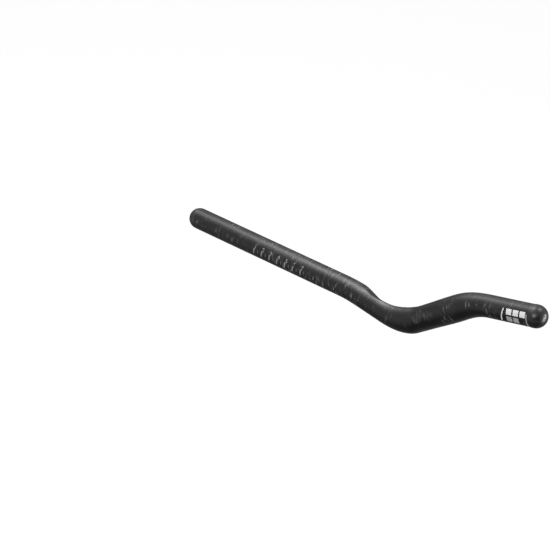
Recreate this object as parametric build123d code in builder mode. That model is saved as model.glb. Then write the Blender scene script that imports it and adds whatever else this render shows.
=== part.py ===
"""One bar of a mirrored pair of aero handlebar extensions: a hollow carbon S-bend with its end plugs.

Millimetres. The origin is on the tube's axis at its rear face. +X runs forward along the straight
clamp stretch, +Y is outboard, to the rider's left, and +Z is up. The bends lie in the XZ plane.
"""

import os
from math import radians

from build123d import *

# Tube
tube_diameter = 22.2
wall = 1.9

# Line of the tube, from its rear face to its front face
clamp_length = 206.0
first_bend_radius = 184.0
first_bend_angle = 7.16
dip_length = 36.2
second_bend_radius = 76.6
second_bend_angle = 40.0
grip_length = 53.6
third_bend_radius = 99.5
third_bend_angle = 21.8
nose_length = 53.1

# Swell of the tube under the hand, as half sizes of its oval section
dip_half_size = 12.0
bulge_half_size = 13.97
grip_half_width = 13.58
grip_rear_half_thickness = 12.3
grip_front_half_thickness = 13.29

# Places of the swell along the line: a share of the second bend, then distances from bend ends
bulge_share_of_bend = 0.68
grip_rear_lead = 4.0
grip_front_setback = 6.0

# Palm flat, scooped out of the upper outboard side
palm_angle = 56.0
palm_lead = 33.0
palm_entry = 20.0
palm_saddle_setback = 4.0
palm_end_lead = 2.0
palm_depth = 5.05
palm_saddle_depth = 4.2
ridge_radius = 2.9

# Spans between the sections that the swell, the palm flat and the hollow are lofted through
swell_section_count = 16
palm_section_count = 14
hollow_section_count = 24

# Heads of the end plugs
front_head_lip = 0.25
front_skirt = 2.8
front_lip_chamfer = 0.15
rear_head_inset = 0.05
rear_skirt = 0.8

# Ribbed stems that the plugs push into the tube's bore
stem_length = 16.0
stem_wall = 1.8
stem_clearance = 0.6
rib_clearance = 0.05
rib_count = 2
rib_pitch = 4.5
rib_length = 2.4

tube_radius = tube_diameter / 2
bore_radius = tube_radius - wall
stem_radius = bore_radius - stem_clearance
rib_radius = bore_radius - rib_clearance

# Distances along the line where one stretch or bend ends and the next begins
first_bend_start = clamp_length
dip_start = first_bend_start + first_bend_radius * radians(first_bend_angle)
second_bend_start = dip_start + dip_length
second_bend_length = second_bend_radius * radians(second_bend_angle)
grip_start = second_bend_start + second_bend_length
third_bend_start = grip_start + grip_length
nose_start = third_bend_start + third_bend_radius * radians(third_bend_angle)
tube_length = nose_start + nose_length

# Distances along the line that shape the swell and the palm flat
bulge = second_bend_start + bulge_share_of_bend * second_bend_length
grip_rear = grip_start - grip_rear_lead
grip_front = third_bend_start - grip_front_setback
palm_start = second_bend_start - palm_lead
palm_deepest = palm_start + palm_entry
palm_saddle = second_bend_start + palm_saddle_setback
palm_end = grip_start - palm_end_lead

# Stations along the line, each a distance and a size there
width_stations = [
    (first_bend_start, tube_radius),
    (second_bend_start, dip_half_size),
    (bulge, bulge_half_size),
    (grip_rear, grip_half_width),
    (grip_front, grip_half_width),
    (nose_start, tube_radius),
]
thickness_stations = [
    (first_bend_start, tube_radius),
    (second_bend_start, dip_half_size),
    (bulge, bulge_half_size),
    (grip_rear, grip_rear_half_thickness),
    (grip_front, grip_front_half_thickness),
    (nose_start, tube_radius),
]
# The palm flat stands clear of the body before its start and after its end
palm_depth_stations = [
    (first_bend_start, -tube_radius),
    (palm_start, 0),
    (palm_deepest, palm_depth),
    (palm_saddle, palm_saddle_depth),
    (bulge, palm_saddle_depth),
    (palm_end, 0),
    (grip_front, -tube_radius),
    (nose_start, -tube_radius),
]


def rise(lower, upper):
    """Slope of the straight line from one station to the next."""
    return (upper[1] - lower[1]) / (upper[0] - lower[0])


def slope_at(stations, index):
    """Slope of the smooth curve at a station: level at both ends and at each high or low point."""
    if index in (0, len(stations) - 1):
        return 0
    before = rise(stations[index - 1], stations[index])
    after = rise(stations[index], stations[index + 1])
    if before * after <= 0:
        return 0
    return 2 * before * after / (before + after)


def value_at(stations, distance):
    """Size at a distance along the line, on a smooth curve through the stations."""
    index = 0
    while index < len(stations) - 2 and distance > stations[index + 1][0]:
        index += 1
    (start, low), (end, high) = stations[index], stations[index + 1]
    t = (distance - start) / (end - start)
    start_slope = slope_at(stations, index) * (end - start)
    end_slope = slope_at(stations, index + 1) * (end - start)
    return (
        low * (2 * t**3 - 3 * t**2 + 1)
        + start_slope * (t**3 - 2 * t**2 + t)
        + high * (3 * t**2 - 2 * t**3)
        + end_slope * (t**3 - t**2)
    )


def even_distances(start, end, count):
    """Evenly spaced distances along the line, both ends included."""
    return [start + (end - start) * step / count for step in range(count + 1)]


# Line of the tube, drawn in the bend plane
with BuildLine(Plane.XZ) as tube_line:
    clamp_line = Line((0, 0), (clamp_length, 0))
    first_bend = JernArc(clamp_line @ 1, clamp_line % 1, first_bend_radius, -first_bend_angle)
    dip_line = PolarLine(first_bend @ 1, dip_length, direction=first_bend % 1)
    second_bend = JernArc(dip_line @ 1, dip_line % 1, second_bend_radius, second_bend_angle)
    grip_line = PolarLine(second_bend @ 1, grip_length, direction=second_bend % 1)
    third_bend = JernArc(grip_line @ 1, grip_line % 1, third_bend_radius, -third_bend_angle)
    nose_line = PolarLine(third_bend @ 1, nose_length, direction=third_bend % 1)
spine = tube_line.wire()


def plane_at(distance, turn=0):
    """Plane across the line, its z forward and its x outboard, turned up by an angle."""
    origin = spine.position_at(distance, position_mode=PositionMode.LENGTH)
    forward = spine.tangent_at(distance, position_mode=PositionMode.LENGTH)
    outboard = Vector(0, 1, 0).rotate(Axis((0, 0, 0), forward), turn)
    return Plane(origin=origin, x_dir=outboard, z_dir=forward)


def build_body(inset, palm_share, section_count, ruled):
    """Form of the tube, an inset below its surface.

    With a palm share of 1 it keeps below the palm flat as well, and with 0 it runs on as if
    there were none.
    """
    radius = tube_radius - inset
    with BuildPart() as body:
        with BuildSketch(plane_at(0)):
            Circle(radius)
        extrude(amount=clamp_length)
        with BuildSketch(plane_at(nose_start)):
            Circle(radius)
        extrude(amount=nose_length)
        for distance in even_distances(first_bend_start, nose_start, section_count):
            drop = palm_share * max(0, value_at(palm_depth_stations, distance))
            half_thickness = value_at(thickness_stations, distance) - inset - drop / 2
            half_width = value_at(width_stations, distance) - inset
            with BuildSketch(plane_at(distance, palm_angle + 180)):
                with Locations((drop / 2, 0)):
                    Ellipse(half_thickness, half_width)
        loft(ruled=ruled)
    return body.part


# Block whose underside is the palm flat
palm_block_height = 2 * tube_radius
palm_block_width = 4 * bulge_half_size
with BuildPart() as palm_cutter:
    for distance in even_distances(first_bend_start, grip_front, palm_section_count):
        half_thickness = value_at(thickness_stations, distance)
        palm_height = half_thickness - value_at(palm_depth_stations, distance)
        with BuildSketch(plane_at(distance, palm_angle)):
            with Locations((palm_height + palm_block_height / 2, 0)):
                Rectangle(palm_block_height, palm_block_width)
    loft()

# The hollow's walls run straight from section to section
tube_hollow = build_body(wall, palm_share=1, section_count=hollow_section_count, ruled=True)

with BuildPart() as extension_tube:
    add(build_body(0, palm_share=0, section_count=swell_section_count, ruled=False))
    add(palm_cutter.part, mode=Mode.SUBTRACT)
    fillet(extension_tube.edges(Select.LAST), ridge_radius)
    add(tube_hollow, mode=Mode.SUBTRACT)
extension_tube.part.label = "extension_tube"


def profile_plane(distance, outward):
    """Plane through the tube's axis at a face of the tube, its x pointing out of the tube."""
    origin = plane_at(distance).origin
    return Plane(origin=origin, x_dir=outward, z_dir=(0, 1, 0))


def draw_stem():
    """Half profile of a plug's hollow stem, with the ribs that grip the bore."""
    with Locations((-stem_length / 2, stem_radius - stem_wall / 2)):
        Rectangle(stem_length, stem_wall)
    for rib in range(rib_count):
        crest = -stem_length + rib_length + rib * rib_pitch
        foot = crest - rib_length
        Polygon((foot, stem_radius), (crest, stem_radius), (crest, rib_radius), align=None)


front_outward = plane_at(tube_length).z_dir
front_plane = profile_plane(tube_length, front_outward)
front_head_radius = tube_radius + front_head_lip

with BuildPart() as front_end_plug:
    with BuildSketch(front_plane):
        with BuildLine():
            skirt = Polyline((0, 0), (0, front_head_radius), (front_skirt, front_head_radius))
            dome = CenterArc((front_skirt, 0), front_head_radius, 90, -90)
            Line(dome @ 1, skirt @ 0)
        make_face()
        draw_stem()
    revolve(axis=Axis(front_plane.origin, front_outward))
    lip_edge = front_end_plug.edges().filter_by(
        lambda edge: edge.geom_type == GeomType.CIRCLE
        and abs(edge.radius - front_head_radius) < front_head_lip / 2
    )
    chamfer(lip_edge.sort_by(Axis(front_plane.origin, front_outward))[0], front_lip_chamfer)
front_end_plug.part.label = "front_end_plug"

rear_outward = -plane_at(0).z_dir
rear_plane = profile_plane(0, rear_outward)
rear_head_radius = tube_radius - rear_head_inset

with BuildPart() as rear_end_plug:
    with BuildSketch(rear_plane):
        with BuildLine():
            skirt = Polyline((0, 0), (0, rear_head_radius), (rear_skirt, rear_head_radius))
            dome = CenterArc((rear_skirt, 0), rear_head_radius, 90, -90)
            Line(dome @ 1, skirt @ 0)
        make_face()
        draw_stem()
    revolve(axis=Axis(rear_plane.origin, rear_outward))
rear_end_plug.part.label = "rear_end_plug"

os.makedirs("parts", exist_ok=True)
export_step(extension_tube.part, "parts/extension_tube.step")
export_step(front_end_plug.part, "parts/front_end_plug.step")
export_step(rear_end_plug.part, "parts/rear_end_plug.step")
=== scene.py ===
"""Looks of one aero handlebar extension: a satin carbon S-bend tube with its end plugs.

Metres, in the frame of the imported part: the origin is on the tube's axis at its rear face, +X runs
forward along the straight clamping stretch, +Y is outboard and +Z is up.
"""

from math import cos, pi, radians, sin

import bmesh
import bpy
import numpy as np
from mathutils import Matrix, Vector


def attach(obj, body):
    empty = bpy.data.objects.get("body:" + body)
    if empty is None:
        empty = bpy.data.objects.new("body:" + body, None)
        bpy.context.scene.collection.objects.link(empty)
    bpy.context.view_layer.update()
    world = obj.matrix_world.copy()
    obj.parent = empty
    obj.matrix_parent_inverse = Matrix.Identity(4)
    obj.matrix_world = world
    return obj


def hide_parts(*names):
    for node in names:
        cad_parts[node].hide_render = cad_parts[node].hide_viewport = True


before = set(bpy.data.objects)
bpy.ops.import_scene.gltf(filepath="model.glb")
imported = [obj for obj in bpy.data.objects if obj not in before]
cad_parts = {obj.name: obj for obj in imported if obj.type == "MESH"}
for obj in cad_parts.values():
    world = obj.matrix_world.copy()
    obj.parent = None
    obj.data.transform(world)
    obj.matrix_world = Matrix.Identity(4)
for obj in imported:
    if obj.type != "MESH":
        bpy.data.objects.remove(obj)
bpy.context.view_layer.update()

MM = 0.001

# Line of the tube, in millimetres: straight lengths, bend radii and bend angles
tube_radius = 11.1
wall = 1.9
clamp_length = 206.0
first_bend_radius, first_bend_angle = 184.0, 7.16
dip_length = 36.2
second_bend_radius, second_bend_angle = 76.6, 40.0
grip_length = 53.6
third_bend_radius, third_bend_angle = 99.5, 21.8
nose_length = 53.1

# Runs of the line, each a length and a curvature
runs = [
    (clamp_length, 0),
    (first_bend_radius * radians(first_bend_angle), -1 / first_bend_radius),
    (dip_length, 0),
    (second_bend_radius * radians(second_bend_angle), 1 / second_bend_radius),
    (grip_length, 0),
    (third_bend_radius * radians(third_bend_angle), -1 / third_bend_radius),
    (nose_length, 0),
]
(
    first_bend_start,
    dip_start,
    second_bend_start,
    grip_start,
    third_bend_start,
    nose_start,
    tube_length,
) = np.cumsum([length for length, curvature in runs])

# Swell of the tube under the hand, as half sizes of its oval section
dip_half_size = 12.0
bulge_half_size = 13.97
grip_half_width = 13.58
grip_rear_half_thickness, grip_front_half_thickness = 12.3, 13.29

# Palm flat, with a rounded ridge along its edges
palm_angle = radians(56.0)
palm_depth, palm_saddle_depth = 5.05, 4.2
ridge_radius = 2.9

# Places of the swell and the palm flat along the line
bulge = second_bend_start + 0.68 * (grip_start - second_bend_start)
grip_rear = grip_start - 4.0
grip_front = third_bend_start - 6.0
palm_start = second_bend_start - 33.0
palm_deepest = palm_start + 20.0
palm_saddle = second_bend_start + 4.0
palm_end = grip_start - 2.0

# Stations, each a distance along the line and a size there
width_stations = [
    (first_bend_start, tube_radius),
    (second_bend_start, dip_half_size),
    (bulge, bulge_half_size),
    (grip_rear, grip_half_width),
    (grip_front, grip_half_width),
    (nose_start, tube_radius),
]
thickness_stations = [
    (first_bend_start, tube_radius),
    (second_bend_start, dip_half_size),
    (bulge, bulge_half_size),
    (grip_rear, grip_rear_half_thickness),
    (grip_front, grip_front_half_thickness),
    (nose_start, tube_radius),
]
# Below zero the palm flat stands clear of the tube
palm_stations = [
    (first_bend_start, -tube_radius),
    (palm_start, 0),
    (palm_deepest, palm_depth),
    (palm_saddle, palm_saddle_depth),
    (bulge, palm_saddle_depth),
    (palm_end, 0),
    (grip_front, -tube_radius),
    (nose_start, -tube_radius),
]


def value_at(stations, distance):
    """Size at a distance along the line, on a smooth curve through the stations."""
    d, v = np.array(stations).T
    distance = min(max(distance, d[0]), d[-1])
    rises = np.diff(v) / np.diff(d)
    slopes = np.zeros(len(d))
    for k in range(1, len(d) - 1):
        if rises[k - 1] * rises[k] > 0:
            slopes[k] = 2 * rises[k - 1] * rises[k] / (rises[k - 1] + rises[k])
    i = min(int(np.searchsorted(d, distance, side="left")), len(d) - 1)
    i = max(i - 1, 0)
    span = d[i + 1] - d[i]
    t = (distance - d[i]) / span
    return (
        v[i] * (2 * t**3 - 3 * t**2 + 1)
        + slopes[i] * span * (t**3 - 2 * t**2 + t)
        + v[i + 1] * (3 * t**2 - 2 * t**3)
        + slopes[i + 1] * span * (t**3 - t**2)
    )


def line_at(distance):
    """Point of the line and its pitch at a distance."""
    x = z = pitch = 0.0
    for number, (length, curvature) in enumerate(runs):
        step = distance if number == len(runs) - 1 else min(distance, length)
        if curvature:
            turned = pitch + curvature * step
            x += (sin(turned) - sin(pitch)) / curvature
            z -= (cos(turned) - cos(pitch)) / curvature
            pitch = turned
        else:
            x += step * cos(pitch)
            z += step * sin(pitch)
        distance -= step
        if distance <= 0:
            break
    return x, z, pitch


# Outward directions round a section, from the side away from the palm flat
facing = np.radians(np.arange(-180, 180, 0.5))


def section_at(distance, count, proud=0.0):
    """Outline of the tube across the line, evenly divided: x towards the palm flat, y across."""
    a = value_at(thickness_stations, distance)
    b = value_at(width_stations, distance)
    h = a - value_at(palm_stations, distance)
    if distance <= first_bend_start or distance >= nose_start:
        a = b = tube_radius
        h = 2 * tube_radius
    if h < a:
        core_a, core_b, core_h = a - ridge_radius, b - ridge_radius, h - ridge_radius
        reach = np.sqrt((core_a * np.cos(facing)) ** 2 + (core_b * np.sin(facing)) ** 2)
        x = core_a**2 * np.cos(facing) / reach
        y = core_b**2 * np.sin(facing) / reach
        corner = core_b * np.sqrt(max(1 - (core_h / core_a) ** 2, 0))
        y = np.where(x > core_h, np.sign(facing) * corner, y)
        x = np.minimum(x, core_h)
        x = x + (ridge_radius + proud) * np.cos(facing)
        y = y + (ridge_radius + proud) * np.sin(facing)
    else:
        x, y = (a + proud) * np.cos(facing), (b + proud) * np.sin(facing)
    x, y = np.append(x, x[0]), np.append(y, y[0])
    along = np.append(0, np.cumsum(np.hypot(np.diff(x), np.diff(y))))
    even = np.linspace(0, along[-1], count, endpoint=False)
    return np.interp(even, along, x), np.interp(even, along, y)


def place(distance, x, y):
    """Points of a section in the part's frame, in millimetres."""
    line_x, line_z, pitch = line_at(distance)
    across = x * cos(palm_angle) - y * sin(palm_angle)
    above = x * sin(palm_angle) + y * cos(palm_angle)
    return np.stack([line_x - above * sin(pitch), across, line_z + above * cos(pitch)], axis=-1)


# Tube: a fine skin over the same form as the CAD tube, with shallow wrinkles in the laminate
ring_points = 150
rounding = 2.6
highest_wrinkle = 0.15
# Start, end and step of each stretch of sections, closer together where most wrinkles are
stretches = [
    (0, 186, 1.5),
    (186, 234, 0.7),
    (234, 350, 1.0),
    (350, 428, 0.7),
    (428, tube_length, 1.5),
]
distances = np.unique(
    np.concatenate([*(np.arange(*stretch) for stretch in stretches), [tube_length]])
)
turns = np.arange(ring_points) / ring_points
outlines = np.array([section_at(distance, ring_points) for distance in distances])
# The laminate rounds off what changes quickly along the tube
weights = np.exp(-(((distances[:, None] - distances[None, :]) / rounding) ** 2))
weights *= np.gradient(distances)[None, :]
outlines = np.tensordot(weights / weights.sum(axis=1, keepdims=True), outlines, axes=1)
skin = np.zeros((len(distances), ring_points, 3))
straight = np.zeros((len(distances), ring_points, 3))
for k, distance in enumerate(distances):
    skin[k] = place(distance, *outlines[k])
    straight[k, :, 0] = distance
    straight[k, :, 1] = tube_radius * np.cos(2 * pi * turns)
    straight[k, :, 2] = tube_radius * np.sin(2 * pi * turns)

# Wrinkles: distance along the line, share of the way round, lean, half length, half width, height
wrinkles = [
    (361.5, 0.785, 0.00, 1.6, 0.60, 0.08),
    (365.2, 0.780, 0.00, 2.0, 0.65, 0.10),
    (369.2, 0.775, 0.00, 2.0, 0.60, 0.10),
    (372.4, 0.765, 0.00, 1.8, 0.55, 0.08),
    (389.5, 0.800, -0.10, 3.9, 0.85, 0.14),
    (393.5, 0.795, 0.10, 2.6, 0.85, 0.14),
    (402.0, 0.797, 0.00, 1.3, 0.75, 0.12),
    (411.0, 0.795, -0.35, 3.2, 0.70, 0.12),
    (418.6, 0.780, 0.00, 2.4, 0.60, 0.08),
    (421.6, 0.765, 0.00, 2.6, 0.60, 0.08),
    (424.8, 0.780, 0.00, 2.4, 0.60, 0.08),
    (376.5, 0.865, 0.60, 2.2, 0.45, 0.06),
    (169.0, 0.850, 0.30, 3.0, 0.60, 0.06),
    (183.0, 0.840, 0.30, 3.0, 0.60, 0.06),
    (197.6, 0.835, 0.40, 3.6, 0.75, 0.10),
    (203.4, 0.850, 0.30, 3.0, 0.60, 0.08),
    (206.8, 0.800, -0.20, 3.2, 0.70, 0.09),
    (214.0, 0.850, 0.35, 3.6, 0.70, 0.07),
    (221.0, 0.800, 0.25, 3.0, 0.60, 0.06),
]
# Faint ones, scattered round the tube over two stretches: start, end and how many
scatter = np.random.default_rng(11)
for start, end, count in ((128, 240, 95), (352, 430, 45)):
    for at in scatter.uniform(start, end, count):
        turn, lean = scatter.uniform(0, 1), scatter.uniform(-0.4, 0.5)
        half_length, half_width = scatter.uniform(2.0, 4.6), scatter.uniform(0.6, 1.2)
        wrinkles.append((at, turn, lean, half_length, half_width, scatter.uniform(0.02, 0.055)))
girth = 2 * pi * tube_radius
grid_d = np.broadcast_to(distances[:, None], skin.shape[:2])
grid_t = np.broadcast_to(turns[None, :], skin.shape[:2])
# Painted highlight: the tube's colour is made paler along each wrinkle, where its ridge catches the
# light
wrinkle_highlight = np.zeros(skin.shape[:2])
lift = np.zeros(skin.shape[:2])
for distance, turn, lean, half_length, half_width, height in wrinkles:
    round_mm = ((grid_t - turn + 0.5) % 1.0 - 0.5) * girth
    along_mm = grid_d - distance - lean * round_mm
    bump = np.exp(-((along_mm / half_width) ** 2) - (round_mm / half_length) ** 4)
    # Height from which the painted highlight along a wrinkle is at its palest: more from the second
    # bend on
    full_height = 0.12 if distance < second_bend_start else 0.17
    wrinkle_highlight = np.maximum(wrinkle_highlight, bump * min(height / full_height, 1.0))
    lift = np.maximum(lift, height * bump)
outward = skin - skin.mean(axis=1, keepdims=True)
outward /= np.linalg.norm(outward, axis=2, keepdims=True)
skin += outward * np.minimum(lift, highest_wrinkle)[..., None]


def mesh_object(name, points, faces, smooth=True):
    """A mesh from points in millimetres."""
    mesh = bpy.data.meshes.new(name)
    mesh.from_pydata((np.asarray(points) * MM).tolist(), [], faces)
    mesh.update()
    if smooth:
        mesh.polygons.foreach_set("use_smooth", [True] * len(mesh.polygons))
    made = bpy.data.objects.new(name, mesh)
    bpy.context.scene.collection.objects.link(made)
    return made


def grid_faces(rows, columns, start=0):
    """Quads of a grid of rows closed round its columns."""
    return [
        (
            start + r * columns + c,
            start + r * columns + (c + 1) % columns,
            start + (r + 1) * columns + (c + 1) % columns,
            start + (r + 1) * columns + c,
        )
        for r in range(rows - 1)
        for c in range(columns)
    ]


def add_attribute(thing, name, kind, key, values):
    """A value stored at each point of a mesh, for its material to read."""
    attribute = thing.data.attributes.new(name, kind, "POINT")
    attribute.data.foreach_set(key, np.asarray(values, dtype=np.float32).ravel())


# At both ends the skin turns in over the tube's face and a little way down its bore
mouth_depth = 2.0
bore_radius = tube_radius - wall
points = skin.reshape(-1, 3)
faces = grid_faces(len(distances), ring_points)
straight_points = straight.reshape(-1, 3)
wrinkle_highlight_values = wrinkle_highlight.reshape(-1)
for distance, inward, end_row in (
    (0.0, mouth_depth, straight[0]),
    (tube_length, -mouth_depth, straight[-1]),
):
    start = len(points)
    rings = []
    for radius, step in ((tube_radius, 0.0), (bore_radius, 0.0), (bore_radius, inward)):
        circle = radius * np.cos(2 * pi * turns + pi), radius * np.sin(2 * pi * turns + pi)
        rings.append(place(distance + step, *circle))
    points = np.concatenate([points, *rings])
    faces += grid_faces(len(rings), ring_points, start)
    straight_points = np.concatenate([straight_points, *[end_row] * len(rings)])
    wrinkle_highlight_values = np.concatenate([wrinkle_highlight_values, np.zeros(len(rings) * ring_points)])
tube = mesh_object("laminate_tube", points, faces)
add_attribute(tube, "straight", "FLOAT_VECTOR", "vector", straight_points)
add_attribute(tube, "wrinkle_highlight", "FLOAT", "value", wrinkle_highlight_values)
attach(tube, "root")
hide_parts("extension_tube")


# Printed marks: flat drawings wrapped on the tube, just proud of it
print_height = 0.04
outline_steps = 720
longest_figure_edge = 0.6
most_cuts = 5


def wrap(name, outline_points, outline_faces, distance, turn):
    """A flat drawing, x forward along the tube and y round it, laid on the tube's surface."""
    wrapped = []
    for u, w in outline_points:
        at = distance + u
        x, y = section_at(at, outline_steps, print_height)
        x, y = np.append(x, x[0]), np.append(y, y[0])
        step = (turn + w / girth) % 1.0 * outline_steps
        steps = range(outline_steps + 1)
        wrapped.append(place(at, np.interp(step, steps, x), np.interp(step, steps, y)))
    return mesh_object(name, wrapped, outline_faces)


def drawn_strip(length, height, across_steps, lean=0.0):
    """A rectangle divided across the tube, so that it bends with it."""
    pts, quads = [], []
    for k in range(across_steps + 1):
        w = -height / 2 + height * k / across_steps
        pts += [(-length / 2 + lean * w, w), (length / 2 + lean * w, w)]
    for k in range(across_steps):
        quads.append((2 * k, 2 * k + 1, 2 * k + 3, 2 * k + 2))
    return pts, quads


def figure_mesh(text, size, thicken):
    """Flat outline of a figure from the built-in font, cut into small faces, in millimetres."""
    curve = bpy.data.curves.new("figure", "FONT")
    curve.body = text
    curve.size = size
    curve.offset = thicken
    curve.align_x = "CENTER"
    curve.align_y = "CENTER"
    holder = bpy.data.objects.new("figure", curve)
    bpy.context.scene.collection.objects.link(holder)
    bpy.context.view_layer.update()
    mesh = bpy.data.meshes.new_from_object(holder)
    form = bmesh.new()
    form.from_mesh(mesh)
    for cut in range(most_cuts):
        long_edges = [edge for edge in form.edges if edge.calc_length() > longest_figure_edge]
        if not long_edges:
            break
        bmesh.ops.subdivide_edges(form, edges=long_edges, cuts=1)
        bmesh.ops.triangulate(form, faces=form.faces[:])
    form.verts.index_update()
    pts = [(v.co.x, v.co.y) for v in form.verts]
    tris = [tuple(v.index for v in face.verts) for face in form.faces]
    form.free()
    bpy.data.objects.remove(holder)
    bpy.data.meshes.remove(mesh)
    return pts, tris


def joined(name, drawings):
    """Drawings as one piece, each with its distance and its share of the way round the tube."""
    pts, polys = [], []
    for outline_points, outline_faces, distance, turn in drawings:
        part = wrap("part", outline_points, outline_faces, distance, turn)
        start = len(pts)
        pts += [tuple(v.co / MM) for v in part.data.vertices]
        polys += [tuple(start + i for i in p.vertices) for p in part.data.polygons]
        bpy.data.objects.remove(part)
    return mesh_object(name, pts, polys)


# Length scale: a tall tick at each step with its number above it, and a short tick between
ruler_start, ruler_step, ruler_count = 91.0, 11.1, 7
tall_tick, tall_turn = drawn_strip(1.9, 6.2, 10, -0.15), 0.852
short_tick, short_turn = drawn_strip(0.9, 4.0, 8), 0.850
figure_size, figure_thickening, figure_lead, figure_turn = 5.8, 0.2, 1.7, 0.784
drawings, faint_drawings = [], []
for k in range(ruler_count):
    at = ruler_start + k * ruler_step
    drawings.append((*tall_tick, at, tall_turn))
    figure_points, figure_faces = figure_mesh(str(k + 1), figure_size, figure_thickening)
    figure_points = [(x, -y) for x, y in figure_points]
    drawings.append((figure_points, figure_faces, at + figure_lead, figure_turn))
    if k < ruler_count - 1:
        faint_drawings.append((*short_tick, at + ruler_step / 2, short_turn))
ruler = joined("length_scale", drawings)
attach(ruler, "root")
half_ruler = joined("length_scale_halves", faint_drawings)
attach(half_ruler, "root")

# Plain end mark: ring lines at both ends, and two rows of plain blocks; the lower row and the front
# ring line are drawn in a darker copy of the pale ink, painted shade on the side of the tube turned
# from the light
ring_line = 1.3
rear_ring, rear_ring_at, rear_ring_turn = drawn_strip(ring_line, 13.5, 20, -0.25), 432.8, 0.855
front_ring, front_ring_setback, front_ring_turn = drawn_strip(ring_line, 14.0, 20), 0.7, 0.885
block = drawn_strip(6.6, 5.8, 10)
blocks_at, upper_row_turn, lower_row_turn = (441.4, 449.6, 457.8), 0.798, 0.906
drawings = [(*rear_ring, rear_ring_at, rear_ring_turn)]
drawings += [(*block, at, upper_row_turn) for at in blocks_at]
pale_mark = joined("end_mark", drawings)
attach(pale_mark, "root")
# Painted shade: the lower blocks and the front ring line, in a darker copy of the pale ink
drawings = [(*block, at, lower_row_turn) for at in blocks_at[:2]]
drawings.append((*front_ring, tube_length - front_ring_setback, front_ring_turn))
shaded_end_mark = joined("end_mark_painted_shade", drawings)
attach(shaded_end_mark, "root")


# Materials
def new_material(name):
    material = bpy.data.materials.new(name)
    material.use_nodes = True
    nodes, links = material.node_tree.nodes, material.node_tree.links
    return material, nodes, links, nodes["Principled BSDF"]


def grey(value):
    return (value, value, value)


def stored(nodes, name):
    """A value that is stored on the mesh."""
    node = nodes.new("ShaderNodeAttribute")
    node.attribute_type = "GEOMETRY"
    node.attribute_name = name
    return node


def mix_to_surface(nodes, links, share, first, second):
    """The surface as a mix of two shaders, by the share of the second."""
    mixed = nodes.new("ShaderNodeMixShader")
    links.new(share, mixed.inputs["Fac"])
    links.new(first, mixed.inputs[1])
    links.new(second, mixed.inputs[2])
    links.new(mixed.outputs["Shader"], nodes["Material Output"].inputs["Surface"])


def noise(nodes, links, vector, scale, detail, roughness=0.5):
    """Noise over coordinates stretched by a scale for each axis."""
    mapping = nodes.new("ShaderNodeMapping")
    mapping.vector_type = "POINT"
    mapping.inputs["Scale"].default_value = scale
    texture = nodes.new("ShaderNodeTexNoise")
    texture.inputs["Scale"].default_value = 1.0
    texture.inputs["Detail"].default_value = detail
    texture.inputs["Roughness"].default_value = roughness
    links.new(vector, mapping.inputs["Vector"])
    links.new(mapping.outputs["Vector"], texture.inputs["Vector"])
    return texture.outputs["Fac"]


def math_node(nodes, links, operation, a, b, clamp=False):
    """A Math node of two values, each a socket or a number."""
    node = nodes.new("ShaderNodeMath")
    node.operation = operation
    node.use_clamp = clamp
    for socket, value in zip(node.inputs, (a, b)):
        if hasattr(value, "is_output"):
            links.new(value, socket)
        else:
            socket.default_value = value
    return node.outputs[0]


def ranged(nodes, links, value, from_low, from_high, to_low, to_high):
    """A value carried smoothly from one range to another."""
    node = nodes.new("ShaderNodeMapRange")
    node.interpolation_type = "SMOOTHSTEP"
    for name, number in (
        ("From Min", from_low),
        ("From Max", from_high),
        ("To Min", to_low),
        ("To Max", to_high),
    ):
        node.inputs[name].default_value = number
    links.new(value, node.inputs["Value"])
    return node.outputs["Result"]


def colour_ramp(nodes, links, value, stops):
    ramp = nodes.new("ShaderNodeValToRGB")
    ramp.color_ramp.elements[0].position = stops[0][0]
    ramp.color_ramp.elements[0].color = (*stops[0][1], 1)
    ramp.color_ramp.elements[1].position = stops[-1][0]
    ramp.color_ramp.elements[1].color = (*stops[-1][1], 1)
    for position, colour in stops[1:-1]:
        ramp.color_ramp.elements.new(position).color = (*colour, 1)
    links.new(value, ramp.inputs["Fac"])
    return ramp.outputs["Color"]


def bumped(nodes, links, height, strength, distance, shader):
    bump = nodes.new("ShaderNodeBump")
    bump.inputs["Strength"].default_value = strength
    bump.inputs["Distance"].default_value = distance
    links.new(height, bump.inputs["Height"])
    links.new(bump.outputs["Normal"], shader.inputs["Normal"])


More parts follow.
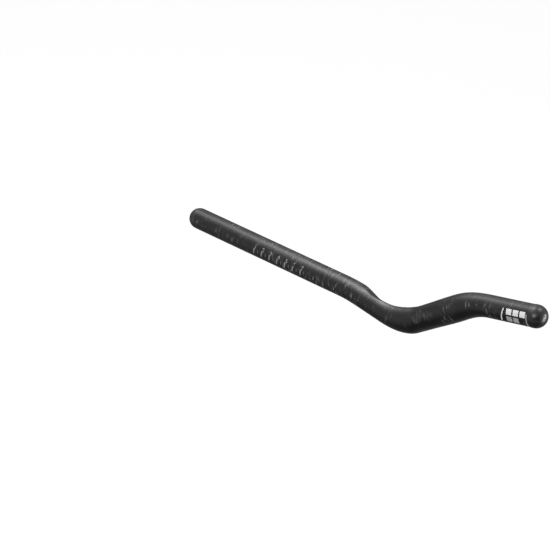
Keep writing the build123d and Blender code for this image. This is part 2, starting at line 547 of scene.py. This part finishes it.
def carbon_material():
    material, nodes, links, shader = new_material("satin_carbon")
    place_on_tube = stored(nodes, "straight").outputs["Vector"]
    wrinkle_highlight_value = stored(nodes, "wrinkle_highlight").outputs["Fac"]
    # Ply edges run round the tube; broader patches fade them in and out
    plies = noise(nodes, links, place_on_tube, (0.42, 0.10, 0.10), 4.0, 0.6)
    patches = noise(nodes, links, place_on_tube, (0.045, 0.09, 0.09), 3.0, 0.5)
    grain = noise(nodes, links, place_on_tube, (1.2, 0.6, 0.6), 3.0, 0.6)
    streaks = ranged(nodes, links, plies, 0.42, 0.68, 0.0, 1.0)
    shown = ranged(nodes, links, patches, 0.40, 0.62, 0.2, 1.0)
    marks = math_node(nodes, links, "MULTIPLY", streaks, shown)
    tone = math_node(nodes, links, "MULTIPLY", grain, 0.22)
    tone = math_node(nodes, links, "ADD", tone, math_node(nodes, links, "MULTIPLY", marks, 0.75))
    # Paler colour along the wrinkles: a painted highlight
    tone = math_node(nodes, links, "ADD", tone, wrinkle_highlight_value, True)
    colour = colour_ramp(
        nodes,
        links,
        tone,
        [
            (0.0, grey(0.001)),
            (0.3, grey(0.002)),
            (0.75, grey(0.022)),
            (1.0, grey(0.11)),
        ],
    )
    links.new(colour, shader.inputs["Base Color"])
    rough = ranged(nodes, links, patches, 0.3, 0.7, 0.36, 0.44)
    smoother = math_node(nodes, links, "MULTIPLY", marks, 0.06)
    rough = math_node(nodes, links, "SUBTRACT", rough, smoother)
    links.new(rough, shader.inputs["Roughness"])
    shader.inputs["IOR"].default_value = 1.36
    height = math_node(nodes, links, "ADD", marks, math_node(nodes, links, "MULTIPLY", grain, 0.35))
    bumped(nodes, links, height, 0.5, 0.0002, shader)
    return material


def plastic_material(name, low, high, rough_low, rough_high, ior):
    """Moulded plastic: a faint flow pattern in its colour and gloss."""
    material, nodes, links, shader = new_material(name)
    coordinates = nodes.new("ShaderNodeTexCoord").outputs["Object"]
    flow = noise(nodes, links, coordinates, (140, 140, 140), 4.0, 0.55)
    fine = noise(nodes, links, coordinates, (1500, 1500, 1500), 2.0, 0.5)
    colour = colour_ramp(nodes, links, flow, [(0.3, grey(low)), (0.7, grey(high))])
    links.new(colour, shader.inputs["Base Color"])
    rough = ranged(nodes, links, flow, 0.3, 0.7, rough_low, rough_high)
    links.new(rough, shader.inputs["Roughness"])
    shader.inputs["IOR"].default_value = ior
    bumped(nodes, links, fine, 0.1, 0.0001, shader)
    return material


def print_material(name, worn, pale):
    """Screen-printed ink with slight wear."""
    material, nodes, links, shader = new_material(name)
    coordinates = nodes.new("ShaderNodeTexCoord").outputs["Object"]
    wear = noise(nodes, links, coordinates, (900, 900, 900), 4.0, 0.6)
    colour = colour_ramp(nodes, links, wear, [(0.34, grey(worn)), (0.58, grey(pale))])
    links.new(colour, shader.inputs["Base Color"])
    links.new(ranged(nodes, links, wear, 0.3, 0.7, 0.5, 0.38), shader.inputs["Roughness"])
    bumped(nodes, links, wear, 0.15, 0.0001, shader)
    return material


def paint(thing, material):
    thing.data.materials.clear()
    thing.data.materials.append(material)


paint(tube, carbon_material())
paint(
    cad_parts["front_end_plug"],
    plastic_material("gloss_black_plastic", 0.002, 0.004, 0.32, 0.40, 1.42),
)
paint(
    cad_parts["rear_end_plug"],
    plastic_material("matt_black_plastic", 0.006, 0.013, 0.36, 0.44, 1.4),
)
paint(ruler, print_material("scale_ink", 0.055, 0.14))
paint(half_ruler, print_material("faint_scale_ink", 0.03, 0.07))
paint(pale_mark, print_material("pale_ink", 0.34, 0.48))
# A darker copy of the pale ink: painted shade on the lower side of the tube
paint(shaded_end_mark, print_material("pale_ink_painted_shade", 0.13, 0.22))

def oriented(place_at, right, up, back):
    """The matrix that puts an object at a place, turned to three directions."""
    return Matrix.Translation(place_at) @ Matrix((right, up, back)).transposed().to_4x4()


# Camera, from the perspective of the photograph
camera_data = bpy.data.cameras.new("camera")
camera_data.sensor_width = 36.0
camera_data.sensor_fit = "HORIZONTAL"
camera_data.lens = 168.702
camera_data.clip_start = 0.05
camera_data.clip_end = 30.0
camera = bpy.data.objects.new("camera", camera_data)
bpy.context.scene.collection.objects.link(camera)
right = Vector((0.707113, 0.705207, 0.051715))
up = Vector((-0.335571, 0.270302, 0.902402))
camera.matrix_world = oriented((1.759471, -1.734435, 1.108386), right, up, right.cross(up))
bpy.context.scene.camera = camera


# Floor and light
def area_light(name, place_at, aim, width, length, power, along=(0, 0, 1)):
    """A soft panel facing its aim, its length along a direction."""
    data = bpy.data.lights.new(name, "AREA")
    data.shape = "RECTANGLE"
    data.size = width
    data.size_y = length
    data.energy = power
    made = bpy.data.objects.new(name, data)
    bpy.context.scene.collection.objects.link(made)
    back = (Vector(place_at) - Vector(aim)).normalized()
    side = Vector(along).cross(back).normalized()
    made.matrix_world = oriented(place_at, side, back.cross(side), back)
    made.visible_camera = False
    return made


middle = (0.25, 0.0, 0.03)
front_plug = (0.45, 0.0, 0.06)
area_light("overhead_softbox", (-0.60, 0.05, 1.12), middle, 0.50, 1.10, 7.0)
area_light("near_softbox", (-0.40, -0.60, 1.12), middle, 0.45, 0.45, 4.0)
area_light("back_softbox", (-0.33, 0.36, 1.15), middle, 0.32, 0.32, 5.4)
area_light("top_softbox", (-0.22, -0.05, 1.15), middle, 0.55, 0.55, 16.0)
area_light("far_softbox", (0.60, 0.36, 1.00), front_plug, 0.40, 0.40, 5.0)
area_light("front_fill", (0.63, -1.05, 0.58), front_plug, 0.55, 0.55, 8.0)
area_light("side_strip", (0.95, 0.32, 0.0), front_plug, 0.10, 0.55, 6.0, (0.145, -0.287, -0.41))

floor_height, floor_reach = -0.25, 6
floor_corners = [(-1, -1), (1, -1), (1, 1), (-1, 1)]
floor_points = [(x * floor_reach, y * floor_reach, floor_height) for x, y in floor_corners]
floor = mesh_object("floor", np.array(floor_points) / MM, [(0, 1, 2, 3)], smooth=False)


# Painted shade for reflections: a dark sheet under, round and over the part, which only reflections
# see, darkening what the part mirrors. Its clearness, from 0 to 1, says how much of the floor, the
# world and the lights it lets through.
shade_sheet_height = floor_height + 0.005
sheet_rows = 12
shade_sheet_points, shade_sheet_faces, shade_sheet_clearness = [], [], []


def climb(value, start, span):
    """0 up to a start, 1 from a span past it, and straight between."""
    return np.clip((value - start) / span, 0, 1)


def add_sheet(grid, clearness):
    """A piece of the reflection-only shade sheet through a grid of points, each with how clear it is
    there.
    """
    start = len(shade_sheet_points)
    rows, columns = grid.shape[:2]
    shade_sheet_points.extend(grid.reshape(-1, 3).tolist())
    shade_sheet_clearness.extend(np.broadcast_to(clearness, grid.shape[:2]).reshape(-1).tolist())
    for r in range(rows - 1):
        for c in range(columns - 1):
            corner = start + r * columns + c
            shade_sheet_faces.append((corner, corner + 1, corner + columns + 1, corner + columns))


def curved_sheet(centre_x, radius, from_angle, to_angle, tops):
    """Grid of an upright sheet bent round a point, from the shade sheet on the floor up to its tops.
    """
    angles = np.radians(np.linspace(from_angle, to_angle, len(tops)))
    share = np.linspace(0, 1, sheet_rows)[:, None]
    heights = shade_sheet_height + share * (np.asarray(tops)[None, :] - shade_sheet_height)
    return np.stack(
        [
            np.broadcast_to(centre_x + radius * np.cos(angles), heights.shape),
            np.broadcast_to(radius * np.sin(angles), heights.shape),
            heights,
        ],
        axis=-1,
    )


# On the floor: a painted shadow seen in reflections, darkest in an oval under the front of the part,
# dark outboard and clear inboard
ahead, across = np.meshgrid(np.linspace(-2.0, 1.8, 77), np.linspace(-2.2, 1.4, 73))
away = np.hypot((ahead - 0.5) / 0.75, (across + 0.1) / 0.27)
shadow_under_part = 0.11 + 0.89 * climb(away, 0.6, 1.2)
lowest = 0.22 + 0.1 * climb(ahead, 0.1, 0.1)
behind_part = lowest + (1 - lowest) * climb(-across, 0.08, 0.17)
lying = np.stack([ahead, across, np.full(ahead.shape, shade_sheet_height)], axis=-1)
add_sheet(lying, np.minimum(shadow_under_part, behind_part))
# Outboard and to the rear: painted shade in reflections, clearer towards its top, and clearer low
# down past the rear
backdrop_from, backdrop_to, backdrop_columns, backdrop_top = 75, 207, 28, 0.75
backdrop_tops = [backdrop_top] * backdrop_columns
backdrop = curved_sheet(0.3, 1.5, backdrop_from, backdrop_to, backdrop_tops)
round_angles = np.linspace(backdrop_from, backdrop_to, backdrop_columns)
least = 0.18 + 0.32 * climb(round_angles, 180, 10)
add_sheet(backdrop, least + (1 - least) * climb(backdrop[..., 2], 0.25, 0.45))
# Inboard and to the front: painted shade in reflections, nearly black, and taller towards the front
front_from, front_to, front_columns, front_radius = -100, -8, 24, 1.3
slant = np.radians(22 + 18 * climb(np.linspace(front_from, front_to, front_columns), -60, 50))
front_tops = 0.06 + front_radius * np.tan(slant)
add_sheet(curved_sheet(0.45, front_radius, front_from, front_to, front_tops), 0.06)
# A flag over the grip, seen only in reflections, paints shade over the brightest of the top light's
# reflection on the front plug and the nose
flag_x, flag_y, flag_z = 0.29, -0.01, 0.31
flag_forward, flag_upward = 0.85, 0.53
flag_along, flag_across = np.meshgrid(np.linspace(-0.11, 0.11, 3), np.linspace(-0.16, 0.16, 3))
flag = np.stack(
    [
        flag_x + flag_forward * flag_along,
        flag_y + flag_across,
        flag_z + flag_upward * flag_along,
    ],
    axis=-1,
)
add_sheet(flag, 0.4)
shade_sheet = mesh_object("reflection_shade_sheet", np.array(shade_sheet_points) / MM, shade_sheet_faces, smooth=False)
add_attribute(shade_sheet, "clearness", "FLOAT", "value", shade_sheet_clearness)
shade_sheet.visible_camera = False
shade_sheet.visible_diffuse = False
shade_sheet.visible_shadow = False
shade_sheet.visible_transmission = False
# Near-black sheet seen only in reflections: painted shade in what the part mirrors
material, nodes, links, shader = new_material("painted_reflection_shade")
coordinates = nodes.new("ShaderNodeTexCoord").outputs["Object"]
sheet_mottle = noise(nodes, links, coordinates, (40, 40, 40), 3.0)
shade_sheet_colour = colour_ramp(nodes, links, sheet_mottle, [(0.3, grey(0.01)), (0.7, grey(0.02))])
links.new(shade_sheet_colour, shader.inputs["Base Color"])
shader.inputs["Roughness"].default_value = 1.0
clear = nodes.new("ShaderNodeBsdfTransparent").outputs["BSDF"]
clearness = stored(nodes, "clearness").outputs["Fac"]
mix_to_surface(nodes, links, clearness, shader.outputs["BSDF"], clear)
paint(shade_sheet, material)


def seen_directly(nodes, links):
    """1 for camera, glossy and transmission rays, and 0 for others."""
    path = nodes.new("ShaderNodeLightPath")
    seen = math_node(
        nodes, links, "MAXIMUM", path.outputs["Is Camera Ray"], path.outputs["Is Glossy Ray"]
    )
    return math_node(nodes, links, "MAXIMUM", seen, path.outputs["Is Transmission Ray"])


material, nodes, links, shader = new_material("pale_floor")
coordinates = nodes.new("ShaderNodeTexCoord").outputs["Object"]
cloudy = noise(nodes, links, coordinates, (3, 3, 3), 3.0)
floor_colour = colour_ramp(nodes, links, cloudy, [(0.3, grey(0.88)), (0.7, grey(0.92))])
links.new(floor_colour, shader.inputs["Base Color"])
shader.inputs["Roughness"].default_value = 0.9
glow = nodes.new("ShaderNodeEmission")
glow.inputs["Color"].default_value = (1, 1, 1, 1)
glow.inputs["Strength"].default_value = 1.0
glowing = math_node(nodes, links, "MULTIPLY", seen_directly(nodes, links), 0.96)
mix_to_surface(nodes, links, glowing, shader.outputs["BSDF"], glow.outputs["Emission"])
paint(floor, material)

world = bpy.data.worlds.new("studio")
bpy.context.scene.world = world
world.use_nodes = True
nodes, links = world.node_tree.nodes, world.node_tree.links
background = nodes["Background"]
background.inputs["Color"].default_value = (1, 1, 1, 1)
strength = math_node(nodes, links, "MULTIPLY", seen_directly(nodes, links), 0.7)
links.new(math_node(nodes, links, "ADD", strength, 0.3), background.inputs["Strength"])

bpy.context.scene.view_settings.view_transform = "Standard"
